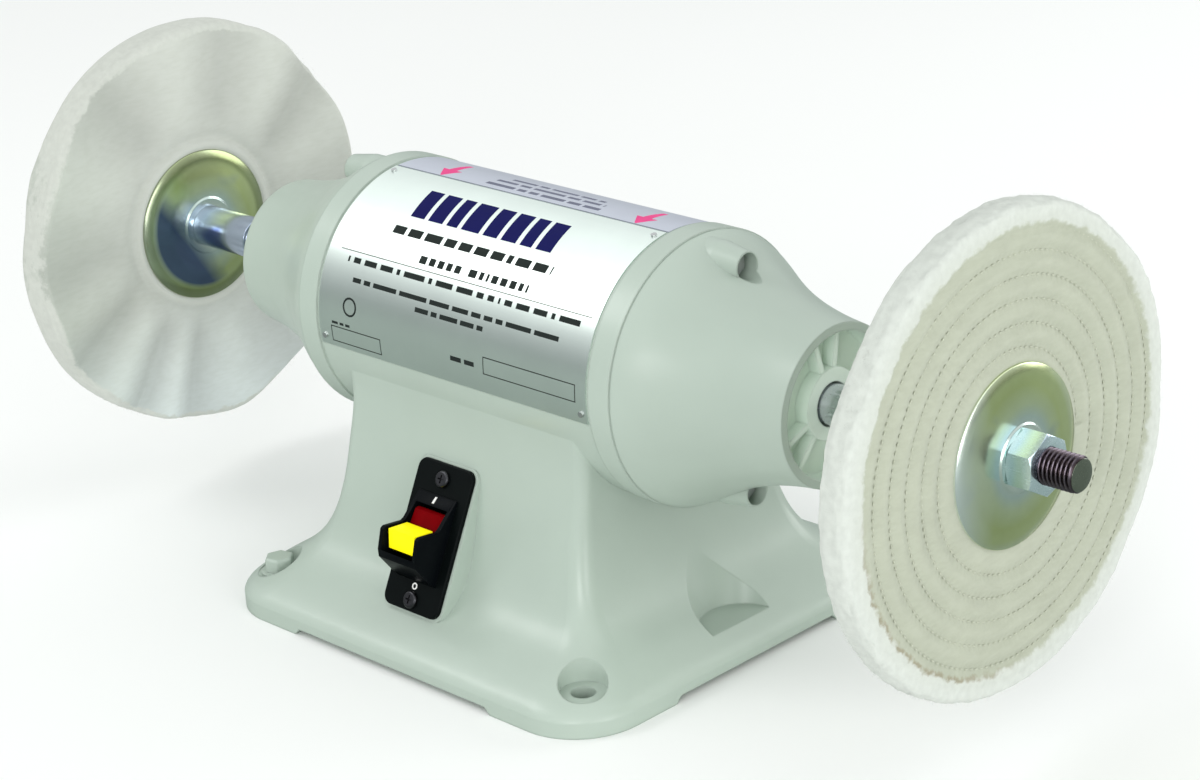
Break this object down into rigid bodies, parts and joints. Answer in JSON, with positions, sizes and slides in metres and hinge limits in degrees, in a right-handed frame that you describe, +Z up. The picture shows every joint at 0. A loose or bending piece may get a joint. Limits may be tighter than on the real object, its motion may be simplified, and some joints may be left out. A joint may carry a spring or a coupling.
{
  "type": "bench grinder",
  "caption": "Double-spindle bench grinder motor on a flared cast base, with a cloth buff between dished flanges on each threaded spindle and a guarded paddle switch.",
  "frame": {"origin": "centre of the base, level with its four pads", "axes": "+X along the spindle, -Y to the operator at the switch, +Z up"},
  "size_m": [0.729, 0.2716, 0.291],
  "materials": {
    "enamel": "satin pale grey-green enamel on cast iron",
    "enamel_bell": "satin pale grey-green enamel on cast iron",
    "nameplate_metal": "bright rolled aluminium with printed rules",
    "strip_foil": "silver foil with printed arrows",
    "pin_steel": "plain steel",
    "bright_shaft": "ground steel, darker threads",
    "sleeve_steel": "bright turned steel",
    "yellow_zinc": "yellow passivated zinc",
    "loose_muslin": "loose muslin discs",
    "sewn_cotton": "spiral sewn cotton discs",
    "blue_zinc": "clear zinc",
    "tie_steel": "zinc plated",
    "bearing_steel": "polished bearing steel",
    "cage_plastic": "moulded nylon",
    "lamination": "laminated electrical steel",
    "copper_enamel": "enamelled copper wire",
    "cast_aluminium": "as cast",
    "cover_steel": "dark painted sheet",
    "screw_steel": "zinc plated",
    "black_rubber": "moulded rubber",
    "capacitor_can": "drawn can",
    "block_plastic": "moulded",
    "brass": "plain",
    "switch_black": "satin black",
    "guard_black": "glossy black",
    "black_screw": "black oxide",
    "pivot_steel": "plain",
    "paddle_red": "glossy red",
    "key_yellow": "glossy yellow"
  },
  "bodies": {
    "motor_frame": {"bottom_cover": "cover_steel", "capacitor_clamp": "screw_steel", "cord_gland": "black_rubber", "cover_screws": "screw_steel", "housing": "enamel", "lead_grommet": "black_rubber", "left_bearing_outer_ring": "bearing_steel", "left_end_bell": "enamel_bell", "nameplate": "nameplate_metal", "nameplate_pins": "pin_steel", "paddle_pin": "pivot_steel", "right_bearing_outer_ring": "bearing_steel", "right_end_bell": "enamel_bell", "rotation_strip": "strip_foil", "run_capacitor": "capacitor_can", "stator_core": "lamination", "stator_windings": "copper_enamel", "switch_body": "guard_black", "switch_guard": "guard_black", "switch_plate": "switch_black", "switch_screws": "black_screw", "switch_terminals": "brass", "terminal_block": "block_plastic", "terminal_screws": "brass", "tie_bolts": "tie_steel", "tie_nuts": "tie_steel", "wave_washer": "bearing_steel"},
    "spindle": {"shaft": "bright_shaft", "rotor_core": "lamination", "rotor_cage": "cast_aluminium", "left_bearing_inner_ring": "bearing_steel", "left_spacer_sleeve": "sleeve_steel", "left_inner_flange": "yellow_zinc", "left_outer_flange": "yellow_zinc", "left_buff": "loose_muslin", "left_spindle_nut": "blue_zinc", "right_bearing_inner_ring": "bearing_steel", "right_spacer_sleeve": "sleeve_steel", "right_inner_flange": "yellow_zinc", "right_outer_flange": "yellow_zinc", "right_buff": "sewn_cotton", "right_spindle_nut": "blue_zinc"},
    "left_balls": {"left_bearing_balls": "bearing_steel", "left_ball_cage": "cage_plastic"},
    "right_balls": {"right_bearing_balls": "bearing_steel", "right_ball_cage": "cage_plastic"},
    "paddle": {"switch_paddle": "paddle_red"},
    "key": {"lock_key": "key_yellow"}
  },
  "joints": [
    {"name": "spindle_spin", "type": "hinge", "parent": "motor_frame", "child": "spindle", "pos_m": [0, 0, 0.164], "axis": [1, 0, 0], "continuous": true},
    {"name": "left_cage_spin", "type": "hinge", "parent": "motor_frame", "child": "left_balls", "pos_m": [-0.1895, 0, 0.164], "axis": [1, 0, 0], "continuous": true},
    {"name": "right_cage_spin", "type": "hinge", "parent": "motor_frame", "child": "right_balls", "pos_m": [0.1895, 0, 0.164], "axis": [1, 0, 0], "continuous": true},
    {"name": "paddle_throw", "type": "hinge", "parent": "motor_frame", "child": "paddle", "pos_m": [-0.006, -0.08803, 0.06401], "axis": [1, 0, 0], "range_deg": [-25, 0]},
    {"name": "key_pull", "type": "slide", "parent": "paddle", "child": "key", "axis": [0, -0.9966, 0.0823], "range_m": [0, 0.018]}
  ],
  "couplings": [
    {"joint": "left_cage_spin", "follows": "spindle_spin", "ratio": 0.3969},
    {"joint": "right_cage_spin", "follows": "spindle_spin", "ratio": 0.3969}
  ]
}
